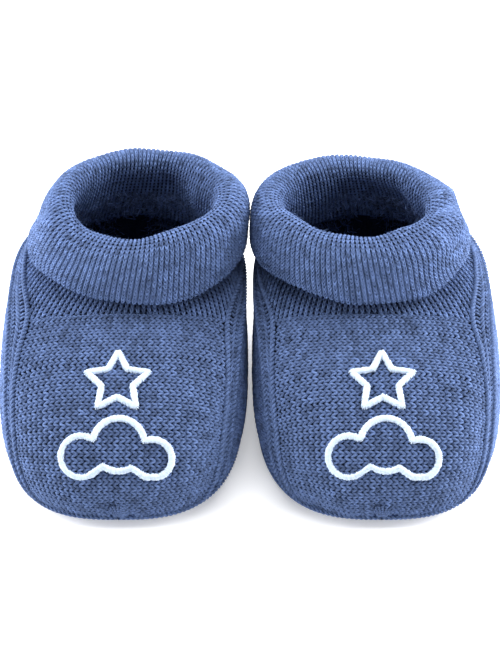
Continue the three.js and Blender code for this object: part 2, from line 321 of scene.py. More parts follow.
def spline(points, count):
    """Centripetal Catmull-Rom curve through the points, read at count even steps of its knots."""
    points = np.asarray(points, float)
    padded = np.vstack([2 * points[0] - points[1], points, 2 * points[-1] - points[-2]])
    spots = np.linspace(0, len(points) - 1, count)
    index = np.minimum(spots.astype(int), len(points) - 2)
    share = (spots - index)[:, None]
    p0, p1, p2, p3 = (padded[index + k] for k in range(4))
    pairs = ((p0, p1), (p1, p2), (p2, p3))
    gaps = [np.sqrt(np.linalg.norm(b - a, axis=1, keepdims=True)) for a, b in pairs]
    d0, d1, d2 = (np.maximum(gap, 1e-6) for gap in gaps)
    m1 = ((p1 - p0) / d0 - (p2 - p0) / (d0 + d1) + (p2 - p1) / d1) * d1
    m2 = ((p2 - p1) / d1 - (p3 - p1) / (d1 + d2) + (p3 - p2) / d2) * d1
    s2 = share**2
    s3 = share**3
    start = (2 * s3 - 3 * s2 + 1) * p1 + (s3 - 2 * s2 + share) * m1
    return start + (3 * s2 - 2 * s3) * p2 + (s3 - s2) * m2


def joined(*columns):
    """Values side by side, such as x, y and z, each an array or a number."""
    return np.stack(np.broadcast_arrays(*columns), axis=-1)


def lengths(points):
    """Distance along a line of points, at each point."""
    steps = np.linalg.norm(np.diff(points[:, :3], axis=0), axis=1)
    return np.concatenate([[0.0], np.cumsum(steps)])


def evenly(points, count, reach=None):
    """The same line (with any further columns) with count evenly spaced points, as far as reach."""
    along = lengths(points)
    spots = np.linspace(0, along[-1] if reach is None else min(reach, along[-1]), count)
    return joined(*(np.interp(spots, along, column) for column in points.T))


def smoothstep(x, low, high):
    """0 up to low, 1 from high on, and a smooth step between them."""
    s = np.clip((x - low) / (high - low), 0, 1)
    return s * s * (3 - 2 * s)


def hump(x, middle, width):
    """A smooth bump of height 1 at the middle."""
    return np.exp(-(((x - middle) / width) ** 2))


def turned(angle, middle):
    """Difference of two angles in degrees, from -180 to 180."""
    return (angle - middle + 180) % 360 - 180


def unevenness(u, v, seed, size):
    """Slow smooth swells over a patch, which meet where u comes round."""
    local = np.random.default_rng(seed)
    total = np.zeros(np.broadcast(u, v).shape)
    for _ in range(SWELL_COUNT):
        waves = local.integers(1, 9)
        rows = local.uniform(-3, 3)
        phase = local.uniform(0, 2 * math.pi)
        total = total + np.sin(2 * math.pi * (waves * u + rows * v) + phase)
    return total * size / math.sqrt(SWELL_COUNT)


SEAM_CURVE = spline(SIDE_SEAM, FINE)
SEAM_SLOPE = np.gradient(SEAM_CURVE[:, 1], SEAM_CURVE[:, 0])


def above_seam(points, margin=0.0):
    """True where a point lies on the top of the foot, above the side seam by the margin."""
    seam_z = np.interp(points[..., 1], SEAM_CURVE[:, 0], SEAM_CURVE[:, 1])
    slope = np.interp(points[..., 1], SEAM_CURVE[:, 0], SEAM_SLOPE)
    return points[..., 2] - seam_z > margin * np.sqrt(1 + slope**2)


class Patch:
    """A surface as a grid of points, read at any place (u, v) from 0 to 1, with its outward normal."""

    def __init__(self, points, closed=False, flip=False):
        self.points = points
        self.closed = closed
        self.flip = flip
        across = np.gradient(points, axis=0)
        if closed:
            across[0] = (points[1] - points[-2]) / 2
            across[-1] = across[0]
        along = np.gradient(points, axis=1)
        normal = unit(np.cross(across, along))
        self.normals = -normal if flip else normal

    def moved(self, amounts):
        """The same patch with each grid point moved out by its amount."""
        return Patch(self.points + self.normals * amounts[..., None], self.closed, self.flip)

    def read(self, u, v):
        """Points and normals at the places (u, v)."""
        nu, nv = self.points.shape[:2]
        u = np.mod(u, 1.0) if self.closed else np.clip(u, 0, 1)
        x = u * (nu - 1)
        y = np.clip(v, 0, 1) * (nv - 1)
        i = np.minimum(x.astype(int), nu - 2)
        j = np.minimum(y.astype(int), nv - 2)
        fx = (x - i)[..., None]
        fy = (y - j)[..., None]

        def mix(grid):
            low = grid[i, j] * (1 - fx) + grid[i + 1, j] * fx
            high = grid[i, j + 1] * (1 - fx) + grid[i + 1, j + 1] * fx
            return low * (1 - fy) + high * fy

        return mix(self.points), unit(mix(self.normals))


def oval(rows, angles):
    """Level outlines. rows: front y, back y, front z, back z, half width, lean and squareness."""
    front_y, back_y, front_z, back_z, half, lean, square = (rows[..., k] for k in range(7))
    power = 2 / square
    across = np.sin(angles)
    along = -np.cos(angles)
    x = lean + half * np.sign(across) * np.abs(across) ** power
    share = (1 + np.sign(along) * np.abs(along) ** power) / 2
    y = front_y + (back_y - front_y) * share
    z = front_z + (back_z - front_z) * share
    return joined(x, y, z)


def foot_rows(inward, count):
    """Outlines from the sole's edge to the base of the ankle tube."""
    size = np.array([FOOT_LENGTH, FOOT_LENGTH, COLLAR_HEIGHT, COLLAR_HEIGHT, HALF_WIDTH, ANKLE_LEAN])
    table = FOOT_PROFILE * size
    front = spline(table[:, [0, 2, 5]], count)
    back = spline(table[:, [1, 3, 4]], count)
    last = len(FOOT_PROFILE) - 1
    rounding = last - 4
    share = smoothstep(np.linspace(0, last, count), rounding, last)
    square = FOOT_SQUARENESS + (ANKLE_SQUARENESS - FOOT_SQUARENESS) * share
    lean = inward * front[:, 2]
    return joined(front[:, 0], back[:, 0], front[:, 1], back[:, 1], back[:, 2], lean, square)


def even_angles(row, count):
    """Angles at equal distances round an outline, starting and ending at the toe."""
    fine = np.linspace(0, 2 * math.pi, 10 * FINE)
    along = lengths(oval(row, fine))
    return np.interp(np.linspace(0, along[-1], count), along, fine)


def quads(rows, columns):
    """Faces of a grid of points, row by row."""
    index = np.arange(rows * columns).reshape(rows, columns)
    return joined(index[:-1, :-1], index[:-1, 1:], index[1:, 1:], index[1:, :-1]).reshape(-1, 4)


class Foot:
    """The outer surface of one bootie's foot, and lines drawn on it by casting rays from inside."""

    def __init__(self, name, side):
        self.name = name
        self.side = side
        self.inward = -side
        self.rows = foot_rows(self.inward, FOOT_LEVELS)
        grid = oval(self.rows[:, None, :], np.linspace(0, 2 * math.pi, FOOT_ANGLES))
        self.toe_line = grid[:, 0]
        self.tree = BVHTree.FromPolygons(
            [tuple(point) for point in grid.reshape(-1, 3)],
            quads(*grid.shape[:2]).tolist(),
        )

    def column(self, angle):
        """Points up the surface at one angle from the toe."""
        return oval(self.rows, np.full(len(self.rows), angle))

    def cast(self, origins, directions):
        """Where rays meet the surface, each with the normal there that looks along its ray."""
        found = []
        for origin, direction in zip(*np.broadcast_arrays(origins, directions)):
            place, normal = self.tree.ray_cast(Vector(origin), Vector(direction))[:2]
            if place is not None:
                sign = 1 if normal.dot(Vector(direction)) > 0 else -1
                found.append([*place, *(normal * sign)])
        return np.array(found)

    def side_line(self, direction, drop):
        """The side seam moved down and back by drop, with its normals, to the middle of the heel."""
        tangent = unit(np.gradient(SEAM_CURVE, axis=0))
        line = SEAM_CURVE + drop * joined(tangent[:, 1], -tangent[:, 0])
        line = line[line[:, 1] > SOLE_TOP]
        found = self.cast(joined(0, line[:, 0], line[:, 1]), [direction, 0, 0])
        last = found[-1]
        hub = np.array([0, HEEL_HUB_Y, last[2]])
        turn = np.linspace(math.atan2(last[0], last[1] - hub[1]), 0, 12)[1:]
        heel = self.cast(hub, joined(np.sin(turn), np.cos(turn), 0))
        return smooth_line(np.vstack([found, heel]), 260)

    def level_line(self, height, count):
        """The outline of the foot at one height, starting and ending at the toe."""
        angle = np.linspace(0, 2 * math.pi, 721)
        ahead = joined(np.sin(angle), -np.cos(angle), 0)
        return smooth_line(self.cast([0, FOOT_LENGTH / 2, height], ahead), count)


def smooth_line(found, count):
    """Evenly spaced points with their normals, smoothed a little."""
    line = evenly(found, count)
    for _ in range(SMOOTHING_ROUNDS):
        line[1:-1] = (line[:-2] + 2 * line[1:-1] + line[2:]) / 4
    line[:, 3:] = unit(line[:, 3:])
    return line


# --- Meshes ---

class Build:
    """Collects points, faces and yarn coordinates of one piece, then makes its mesh."""

    def __init__(self):
        self.vertices = []
        self.faces = []
        self.slots = []
        self.yarn = []
        self.tints = []
        self.charts = []
        self.count = 0
        self.strips = 0

    def add(self, points, faces, slot, yarn, chart, strips, tint=None):
        """chart lays the faces out flat: x from 0 to 1, and y in strips, which are stacked up in make."""
        self.vertices.append(points)
        self.faces.append(faces + self.count)
        self.slots.append(np.full(len(faces), slot, np.int32))
        self.yarn.append(yarn)
        self.charts.append(chart + [0, self.strips])
        self.tints.append(np.full(len(points), 0.5) if tint is None else tint)
        self.count += len(points)
        self.strips += strips

    def make(self, name, side, materials):
        points = np.concatenate(self.vertices) + [side * PAIR_OFFSET, -FOOT_LENGTH / 2, 0]
        faces = np.concatenate(self.faces)
        mesh = bpy.data.meshes.new(name)
        mesh.vertices.add(len(points))
        mesh.vertices.foreach_set("co", (points * MM).ravel())
        mesh.loops.add(faces.size)
        mesh.loops.foreach_set("vertex_index", faces.ravel())
        mesh.polygons.add(len(faces))
        mesh.polygons.foreach_set("loop_start", np.arange(0, faces.size, 4))
        mesh.polygons.foreach_set("material_index", np.concatenate(self.slots))
        mesh.update(calc_edges=True)
        mesh.shade_smooth()
        chart = np.concatenate(self.charts) / [1, self.strips]
        for layer, values in (("yarn", np.concatenate(self.yarn)), ("OFBake", chart)):
            mesh.uv_layers.new(name=layer).data.foreach_set("uv", values.ravel())
        tint = mesh.attributes.new("tint", "FLOAT", "POINT")
        tint.data.foreach_set("value", np.concatenate(self.tints).astype(np.float32))
        for material in materials:
            mesh.materials.append(material)
        piece = bpy.data.objects.new(name, mesh)
        bpy.context.scene.collection.objects.link(piece)
        return piece


def corners(low_x, high_x, low_y, high_y):
    """The four flat corners of each face, in the order of its points."""
    pairs = [(low_x, low_y), (low_x, high_y), (high_x, high_y), (high_x, low_y)]
    return np.stack([joined(*pair) for pair in pairs], axis=-2)


def tubes(build, centres, normals, radius, sides, slot, tint, keep=None, strips=1.0):
    """Lays a row of tubes: centres is (tubes, points, 3), with the surface's normal at each point."""
    tangent = unit(np.gradient(centres, axis=1))
    aside = unit(np.cross(tangent, normals))
    upward = np.cross(aside, tangent)
    turn = np.arange(sides) * 2 * math.pi / sides
    radius = np.broadcast_to(radius, centres.shape[:2])[..., None, None]
    round_it = np.cos(turn)[:, None] * aside[:, :, None] + np.sin(turn)[:, None] * upward[:, :, None]
    ring = centres[:, :, None] + radius * round_it
    rows, steps = centres.shape[:2]
    index = np.arange(rows * steps * sides).reshape(rows, steps, sides)
    next_index = np.roll(index, -1, axis=2)
    faces = joined(index[:, :-1], next_index[:, :-1], next_index[:, 1:], index[:, 1:]).reshape(-1, 4)
    yarn, chart = tube_charts(centres, sides, strips)
    if keep is not None:
        kept = np.repeat((keep[:, :-1] & keep[:, 1:]).reshape(-1), sides)
        faces = faces[kept]
        yarn = yarn[kept]
        chart = chart[kept]
    used = np.unique(faces)
    renumber = np.zeros(rows * steps * sides, int)
    renumber[used] = np.arange(len(used))
    tint = np.repeat(np.broadcast_to(tint, (rows, steps)).reshape(-1), sides)
    points = ring.reshape(-1, 3)[used]
    build.add(points, renumber[faces], slot, yarn, chart, rows * strips, tint[used])


def tube_charts(centres, sides, strips):
    """Yarn coordinates (mm along, turn round) and flat charts of a row of tubes."""
    rows = len(centres)
    filled = 0.9
    distance = np.cumsum(np.linalg.norm(np.diff(centres, axis=1), axis=2), axis=1)
    distance = np.concatenate([np.zeros((rows, 1)), distance], axis=1)
    longest = distance.max() + 1e-6
    start = distance[:, :-1, None]
    end = distance[:, 1:, None]
    low = np.arange(sides) / sides
    high = low + 1 / sides
    strip = np.arange(rows)[:, None, None]
    yarn = corners(start, end, low, high)
    bottom = (strip + filled * low) * strips
    top = (strip + filled * high) * strips
    chart = corners(start / longest, end / longest, bottom, top)
    return yarn.reshape(-1, 4, 2), chart.reshape(-1, 4, 2)


def uneven(wale, courses, middle, spread):
    """Random values for the stitches of each row, read at the points wale (in columns) along it."""
    knots = np.arange(round(wale[-1]) + 1)
    table = rng.normal(middle, spread, (courses, len(knots)))
    return np.stack([np.interp(wale, knots, row) for row in table])


def knit(build, patch, wales, courses, radius, style, swap=False, keep=None, steps=10, sides=5):
    """Lays knitted loops over a patch, in columns (wales, along u with swap) and rows (courses)."""
    lean, squeeze, reach, arch, head, lift = style
    wale = np.linspace(0, wales, wales * steps + 1)
    turn = np.linspace(0, 2 * math.pi * wales, wales * steps + 1)
    course = np.arange(courses)[:, None]
    stray = uneven(wale, courses, 0, STRAY)
    shade = uneven(wale, courses, 0.5, STITCH_SHADE)
    across = (
        turn / (2 * math.pi)
        + lean * np.sin(2 * turn)
        - squeeze * np.sin(turn)
        + STRAY_ASIDE * stray
    ) / wales
    along = (course + 0.5 + reach * np.cos(turn) + stray) / courses
    height = lift - arch * np.cos(2 * turn) + head * np.cos(turn) + STRAY_OUTWARD * stray
    across, along, height = np.broadcast_arrays(across, along, height)

    def read(offset):
        return patch.read(along, across + offset) if swap else patch.read(across + offset, along)

    places, normals = read(0)
    width = np.linalg.norm(read(0.5 / wales)[0] - read(-0.5 / wales)[0], axis=-1)
    radius = radius * np.clip(width / FULL_WALE, LEAST_YARN, 1)
    centres = places + normals * height[..., None]
    centres[..., 2] = np.maximum(centres[..., 2], radius)
    inside = None if keep is None else keep(centres)
    tubes(build, centres, normals, radius, sides, YARN_SLOT, np.clip(shade, 0, 1), inside)


def slab(build, patch, outer, inner, slot=BACKING_SLOT):
    """A closed sheet under the yarn, between two heights over the patch: by default near-black painted
    shade.
    """
    rows, columns = patch.points.shape[:2]
    count = rows * columns
    grid = np.arange(count).reshape(rows, columns)
    edges = [grid[:, 0][::-1], grid[:, -1]]
    if not patch.closed:
        edges += [grid[0], grid[-1][::-1]]
    faces = quads(rows, columns)
    walls = [joined(edge[:-1] + count, edge[1:] + count, edge[1:], edge[:-1]) for edge in edges]
    every = np.concatenate([faces, faces[:, ::-1] + count] + walls)
    if patch.flip:
        every = every[:, ::-1]
    chart = sheet_chart(rows, columns, every, walls)
    top = patch.points + patch.normals * outer
    bottom = patch.points + patch.normals * inner
    points = np.concatenate([top.reshape(-1, 3), bottom.reshape(-1, 3)])
    points[:, 2] = np.maximum(points[:, 2], 0)
    build.add(points, every, slot, chart * 10, chart, 13)


def sheet_chart(rows, columns, every, walls):
    """Flat chart of a closed sheet: its two sides beside each other, and its walls past them."""
    side = [0.48, 10]
    past = [0.5, 0]
    wall_low = 10.1
    wall_high = 10.5
    flat = joined(np.linspace(0, 1, rows)[:, None], np.linspace(0, 1, columns)).reshape(-1, 2)
    chart = np.concatenate([flat * side, flat * side + past])[every]
    first = len(every) - sum(len(wall) for wall in walls)
    for k, wall in enumerate(walls):
        along = np.linspace(0, 1, len(wall) + 1)
        strip = corners(along[:-1], along[1:], wall_low + k / 2, wall_high + k / 2)
        chart[first:first + len(wall)] = strip
        first += len(wall)
    return chart


def cord(build, line, radius, pitch, rise):
    """A twisted cord laid along a line of points with their normals."""
    count = max(8, int(lengths(line)[-1] / pitch * TWIST_STEPS))
    fine = evenly(line, count)
    places = fine[:, :3]
    normals = unit(fine[:, 3:])
    aside = unit(np.cross(np.gradient(places, axis=0), normals))
    along = lengths(places)
    turn = 2 * math.pi * (along / pitch + np.arange(CORD_PLIES)[:, None] / CORD_PLIES)
    reach = radius * PLY_REACH
    centres = (
        places
        + normals * rise
        + reach * np.cos(turn)[..., None] * normals
        + reach * np.sin(turn)[..., None] * aside
    )
    shade = np.clip(rng.normal(0.5, CORD_SHADE, centres.shape[:2]), 0, 1)
    normals = np.broadcast_to(normals, centres.shape)
    tubes(build, centres, normals, radius, CORD_SIDES, YARN_SLOT, shade)


# --- Materials ---

def node(tree, kind, inputs=None, **values):
    """A new shader node with its settings, and with values or links for its inputs."""
    made = tree.nodes.new(kind)
    for key, value in values.items():
        setattr(made, key, value)
    for key, value in (inputs or {}).items():
        if isinstance(value, bpy.types.NodeSocket):
            tree.links.new(value, made.inputs[key])
        else:
            made.inputs[key].default_value = value
    return made


def maths(tree, operation, *values):
    return node(tree, "ShaderNodeMath", dict(enumerate(values)), operation=operation).outputs[0]


def noise(tree, place, scale, **values):
    return node(tree, "ShaderNodeTexNoise", {"Vector": place, "Scale": scale, **values}).outputs["Fac"]


def ramp(tree, source, stops):
    """Colours along a ramp. The first two stops are those that a new ramp has already."""
    made = node(tree, "ShaderNodeValToRGB", {"Fac": source})
    elements = made.color_ramp.elements
    for i, (place, colour) in enumerate(stops):
        element = elements[i] if i < 2 else elements.new(place)
        element.position = place
        element.color = (*colour, 1)
    return made.outputs["Color"]


def yarn_material(name, colours, twist=1.5, sheen=0.1, roughness=(0.75, 0.97), bump=0.5, specular=0.15):
    """Spun yarn: a mottled colour from dark to light, fine fibres and twisted plies."""
    dark, middle, light = colours
    material = bpy.data.materials.new(name)
    material.use_nodes = True
    tree = material.node_tree
    tree.nodes.clear()
    place = node(tree, "ShaderNodeTexCoord").outputs["Object"]
    mottle = noise(tree, place, MOTTLE_SCALE, Detail=5, Roughness=0.75)
    fibres = noise(tree, place, FIBRE_SCALE, Detail=3)
    tint = node(tree, "ShaderNodeAttribute", attribute_name="tint").outputs["Fac"]
    plies = ply_pattern(tree, twist)
    mixed = maths(tree, "ADD", tint, mottle)
    mixed = maths(tree, "MULTIPLY_ADD", fibres, FIBRE_WEIGHT, mixed)
    mixed = maths(tree, "MULTIPLY_ADD", plies, PLY_WEIGHT, mixed)
    stops = [(DARK_STOP, dark), (LIGHT_STOP, light), (MIDDLE_STOP, middle)]
    colour = ramp(tree, maths(tree, "MULTIPLY", mixed, MIX_SHARE), stops)
    relief = maths(tree, "MULTIPLY_ADD", plies, PLY_RELIEF, fibres)
    raised = node(tree, "ShaderNodeBump", {"Height": relief, "Strength": bump, "Distance": RELIEF_DEPTH})
    smooth, matt = roughness
    rough = node(tree, "ShaderNodeMapRange", {"Value": fibres, "To Min": smooth, "To Max": matt})
    surface = {
        "Base Color": colour,
        "Roughness": rough.outputs[0],
        "Normal": raised.outputs[0],
        "Sheen Weight": sheen,
        "Sheen Roughness": 0.5,
        "Sheen Tint": (*light, 1),
        "Specular IOR Level": specular,
    }
    shader = node(tree, "ShaderNodeBsdfPrincipled", surface)
    node(tree, "ShaderNodeOutputMaterial", {"Surface": shader.outputs[0]})
    return material


def ply_pattern(tree, twist):
    """A wave that winds round the strand twice, from the yarn coordinates."""
    strand = node(tree, "ShaderNodeUVMap", uv_map="yarn")
    split = node(tree, "ShaderNodeSeparateXYZ", {0: strand.outputs["UV"]})
    spiral = maths(tree, "MULTIPLY_ADD", split.outputs["X"], twist, split.outputs["Y"])
    return maths(tree, "SINE", maths(tree, "MULTIPLY", spiral, 4 * math.pi))


def shades(colour, spread=0.55):
    """A darker, a middle and a lighter shade of one colour."""
    colour = np.array(colour)
    return [tuple(colour * factor) for factor in (1 - spread, 1.0, 1 + spread)]


# One yarn in a shaded copy for the foot and a lit copy for the ribs: painted shade and painted light
BLUE = yarn_material("blue_yarn_painted_shade", shades(KNIT_COLOUR * FOOT_PAINTED_SHADE))
RIB_BLUE_PAINTED_LIGHT = yarn_material("rib_yarn_painted_light", shades(KNIT_COLOUR * RIB_PAINTED_LIGHT))
SEAM_BLUE = yarn_material("seam_yarn", shades(KNIT_COLOUR * SEAM_SHADE), twist=2.0)
# Backing sheets: near-black painted shade in the gaps between the stitches
BACKING = yarn_material("painted_shade_backing", shades(BACKING_PAINTED_SHADE), sheen=0.0)
# Brushed fleece of the insole and the inner pile, made lighter: painted light inside the booties
FLEECE = yarn_material("brushed_fleece_painted_light", shades(FLEECE_PAINTED_LIGHT_COLOUR, 0.85), sheen=0.3)
THREAD = yarn_material(
    "embroidery_thread",
    shades(THREAD_COLOUR, 0.16),
    twist=3.0,
    roughness=(0.35, 0.55),
    bump=0.2,
    specular=0.4,
)


def finish(build, foot, name, materials, node_name):
    """Makes the piece, sets it under its bootie's body and hides the solid that it stands for."""
    piece = build.make(f"{foot.name}_{name}", foot.side, materials)
    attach(piece, f"{foot.name}_bootie")
    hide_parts(f"{foot.name}_{node_name}")
    return piece


# --- Foot pieces ---

def disc_grid(count):
    """A square grid bent into a disc: the square's own coordinates and the disc's, from -1 to 1."""
    side = np.linspace(-1, 1, count)
    a, b = np.meshgrid(side, side, indexing="ij")
    return a, b, a * np.sqrt(1 - b**2 / 2), b * np.sqrt(1 - a**2 / 2)


def instep_patch(foot):
    """Surface of the instep panel: u runs across the foot, v from the collar down to the toe."""
    columns, rows = 90, 90
    hub_depth = 22
    middle = evenly(foot.toe_line[foot.toe_line[:, 2] > SOLE_TOP][::-1], FINE)
    path = evenly(middle[np.searchsorted(-middle[:, 1], -COLLAR_SEAM_Y):], rows)
    turn = np.radians(np.linspace(-112, 112, 225))
    grid = np.zeros((columns, rows, 3))
    for j, point in enumerate(path):
        share = j / (rows - 1)
        slant = math.radians(-90 * (1 - share**1.6))
        inward = np.array([0, math.cos(slant), math.sin(slant)])
        centre = np.array([0, point[1], point[2]]) + inward * hub_depth
        directions = np.sin(turn)[:, None] * [1.0, 0, 0] - np.cos(turn)[:, None] * inward
        rim = foot.cast(centre, directions)[:, :3]
        grid[:, j] = evenly(rim[above_seam(rim)], columns)
    u = np.linspace(0, 1, columns)[:, None]
    v = np.linspace(0, 1, rows)
    swell = unevenness(u / 2, v / 2, 11 + foot.side, INSTEP_SWELL)
    puckers = PUCKER_HEIGHT * np.sin((u - 0.5) * 60) * hump(u, 0.5, 0.13) * hump(v, 1.0, 0.13)
    calm_edge = smoothstep(u, 0, 0.06) * smoothstep(1 - u, 0, 0.06) * smoothstep(v, 0, 0.06)
    return Patch(grid, flip=True).moved((swell + puckers) * calm_edge)


def instep(foot):
    """The plain panel over the toes."""
    build = Build()
    patch = instep_patch(foot)
    slab(build, patch, *PANEL_BACKING)
    knit(build, patch, *INSTEP_STITCHES, JERSEY, swap=True)
    fuzz(build, patch, FUZZ_COUNTS["instep"])
    finish(build, foot, "instep_knit", [BLUE, BACKING], "instep_panel")


def side_patch(foot, direction, to_seam):
    """Surface of a side of the foot, from the toe round to the heel. v goes up from the sole."""
    columns, rows = 140, 70
    toe_share = 0.06
    reach = None if to_seam else 36.0
    grid = np.zeros((columns, rows, 3))
    for i, share in enumerate(np.linspace(0, 1, columns)):
        angle = (toe_share + (1 - toe_share) * share) * math.pi
        line = evenly(foot.column(direction * angle), 300)
        line = line[line[:, 2] > SOLE_TOP]
        if to_seam:
            below = line[~above_seam(line)]
            line = below if len(below) > 4 else line[:5]
        grid[i] = evenly(line, rows, reach)
    return Patch(grid, flip=direction < 0)


def side_panel(foot, direction, which):
    """Lengthwise ribs from the toe to the heel, under the strip that borders the instep."""
    build = Build()
    lining = side_patch(foot, direction, True)
    slab(build, lining, *PANEL_BACKING)
    pile(build, lining, -WALL, INWARD, PILE_COUNTS["side"], FLEECE_SLOT)
    fuzz(build, lining, FUZZ_COUNTS["side"])
    patch = side_patch(foot, direction, False)
    border = -(STRIP_WIDTH + 0.5)
    knit(build, patch, *SIDE_STITCHES, RIB, swap=True, keep=lambda points: ~above_seam(points, border))
    materials = [RIB_BLUE_PAINTED_LIGHT, BACKING, FLEECE]
    finish(build, foot, f"{which}_side_knit", materials, f"{which}_side_panel")


def side_strip(foot, direction, which):
    """Two columns of stitches that run beside the instep seam."""
    build = Build()
    drops = np.linspace(0.3, STRIP_WIDTH + 0.6, 6)
    lines = [foot.side_line(direction, drop)[:, :3] for drop in drops]
    patch = Patch(np.stack(lines), flip=direction < 0)
    slab(build, patch, *STRIP_BACKING)
    knit(build, patch, STRIP_COLUMNS, int(lengths(lines[0])[-1] / STRIP_ROW), STRIP_YARN, JERSEY)
    finish(build, foot, f"{which}_strip_knit", [BLUE, BACKING], f"{which}_side_strip")


def sole_edge_patch(foot):
    """The rounded edge: u runs round the foot, v from the sole seam down and in under the foot."""
    rows = 24
    low = foot.rows[foot.rows[:, 2] < SOLE_TOP][::-1]
    lines = []
    for angle in even_angles(foot.rows[0], 241):
        line = oval(low, np.full(len(low), angle))
        middle = np.array([0, FOOT_LENGTH / 2, line[-1, 2]])
        under = line[-1] + unit(middle - line[-1]) * np.linspace(1, 7, 6)[:, None]
        lines.append(evenly(np.vstack([line, under]), rows))
    return Patch(np.array(lines), closed=True, flip=True)


def sole(foot):
    """The flat bottom and the rounded edge that turns up to the sole seam."""
    build = Build()
    edge = sole_edge_patch(foot)
    knit(build, edge, *SOLE_EDGE_STITCHES, JERSEY, steps=SOLE_LOOP_STEPS)
    slab(build, edge, *SOLE_EDGE_BACKING)
    front, back, half = foot.rows[0, [0, 1, 4]]
    inset = 3
    height = 0.5
    across, along = disc_grid(40)[2:]
    x = across * (half - inset)
    y = front + inset + (back - front - 2 * inset) * (1 + along) / 2
    flat = Patch(joined(x, y, height), flip=True)
    slab(build, flat, *SOLE_BACKING)
    knit(build, flat, *SOLE_STITCHES, JERSEY, steps=SOLE_LOOP_STEPS, sides=SOLE_LOOP_SIDES)
    finish(build, foot, "sole_knit", [BLUE, BACKING], "sole_panel")


def pile(build, patch, depth, direction, count, slot, hair=PILE_HAIR):
    """Short hairs that stand on a patch moved by depth, and lean over as they go."""
    radius, height, spread = hair
    edge = 0.02
    start, normal = patch.read(rng.uniform(edge, 1 - edge, count), rng.uniform(edge, 1 - edge, count))
    start = start + normal * depth
    upward = normal * direction
    lean = rng.normal(0, spread, (count, 3))
    lean = lean - upward * np.sum(lean * upward, axis=1, keepdims=True)
    tall = rng.uniform(*height, (count, 1))
    bend = rng.normal(0, 0.6 * spread, (count, 3)) * min(1, height[1])
    middle = start + upward * tall + lean * 0.6
    tip = start + upward * tall + lean * 1.6 + bend
    hairs = np.stack([start, middle, tip], axis=1)
    hairs[..., 2] = np.maximum(hairs[..., 2], 0.2)
    tint = np.clip(rng.normal(0.5, 0.3, (count, 1)), 0, 1)
    normals = np.broadcast_to(upward[:, None], hairs.shape) + [0.3, 0.2, 0]
    tubes(build, hairs, normals, radius, HAIR_SIDES, slot, tint, strips=0.02)


def fuzz(build, patch, count):
    """Loose hairs of the yarn that lie over the knit."""
    pile(build, patch, FUZZ_START, OUTWARD, count, YARN_SLOT, FUZZ_HAIR)


def insole(foot):
    """A brushed pad: a crowned closed form with a short pile."""
    build = Build()
    front, back, half = foot.rows[np.searchsorted(foot.rows[:, 2], INSOLE_TOP), [0, 1, 4]]
    inset = WALL + INSOLE_GAP
    a, b, across, along = disc_grid(70)
    x = across * (half - inset)
    y = (front + back) / 2 + along * ((back - front) / 2 - inset)
    crown = INSOLE_CROWN * (1 - across**2 - along**2)
    crown += unevenness((a + 1) / 4, (b + 1) / 4, 5, INSOLE_SWELL)
    patch = Patch(joined(x, y, INSOLE_TOP - INSOLE_CROWN + crown))
    slab(build, patch, *INSOLE_SHEET, slot=YARN_SLOT)
    pile(build, patch, INSOLE_SHEET[0], OUTWARD, PILE_COUNTS["insole"], YARN_SLOT)
    piece = finish(build, foot, "insole_pad", [FLEECE], "insole")


# --- Seams ---

def seam_piece(foot, name, lines, node_name, shape=SEAM_CORD):
    """One twisted cord along each line."""
    build = Build()
    for line in lines:
        cord(build, line, *shape)
    finish(build, foot, name, [SEAM_BLUE], node_name)


def collar_line(foot):
    """The line over the foot where the instep meets the yoke."""
    turn = np.radians(np.linspace(-110, 110, FINE))
    across = joined(np.sin(turn), 0, np.cos(turn))
    found = foot.cast([0, COLLAR_SEAM_Y, COLLAR_HEIGHT / 2], across)
    return smooth_line(found[above_seam(found[:, :3])], 160)


def heel_line(foot):
    """The line up the middle of the heel."""
    count = 80
    heights = np.linspace(SOLE_TOP + 1, 0.9 * COLLAR_HEIGHT - 1, count)
    return smooth_line(foot.cast(joined(0, HEEL_HUB_Y, heights), [0, 1, 0]), count)


def seams(foot):
    """The cords beside the strips, over the collar, round the sole and up the heel."""
    for which, direction in (("inner", foot.inward), ("outer", foot.side)):
        borders = [foot.side_line(direction, 0.15), foot.side_line(direction, STRIP_WIDTH + 0.7)]
        seam_piece(foot, f"{which}_instep_cord", borders, f"{which}_instep_seam")
    seam_piece(foot, "collar_cord", [collar_line(foot)], "collar_seam", COLLAR_CORD)
    seam_piece(foot, "sole_cord", [foot.level_line(SOLE_TOP, FINE)], "sole_seam")
    seam_piece(foot, "heel_cord", [heel_line(foot)], "heel_seam")


def toe_gather(foot):
    """Short strands that draw the knit together at the bottom of the toe."""
    strands = 7
    points = 24
    low = SOLE_TOP + 0.8
    high = SOLE_TOP + 5.4
    lines = []
    for spread in np.linspace(-1, 1, strands):
        heights = np.linspace(low, high - 1.6 * spread**2, points)
        share = (heights - low) / (high - low)
        x = spread * (0.9 + 2.4 * share**1.3)
        found = foot.cast(joined(x, FOOT_LENGTH / 3, heights), [0, -1, 0])
        lines.append(smooth_line(found, points))
    seam_piece(foot, "toe_gather_cords", lines, "toe_gather", GATHER_CORD)


# --- Embroidery ---

def star_line():
    """Middle line of the star's band, in mm about its centre."""
    corner = np.arange(11)
    angle = math.pi / 2 + corner * math.pi / 5
    radius = np.where(corner % 2, STAR_REACH * STAR_NOTCH, STAR_REACH)
    return joined(np.cos(angle) * radius, np.sin(angle) * radius)


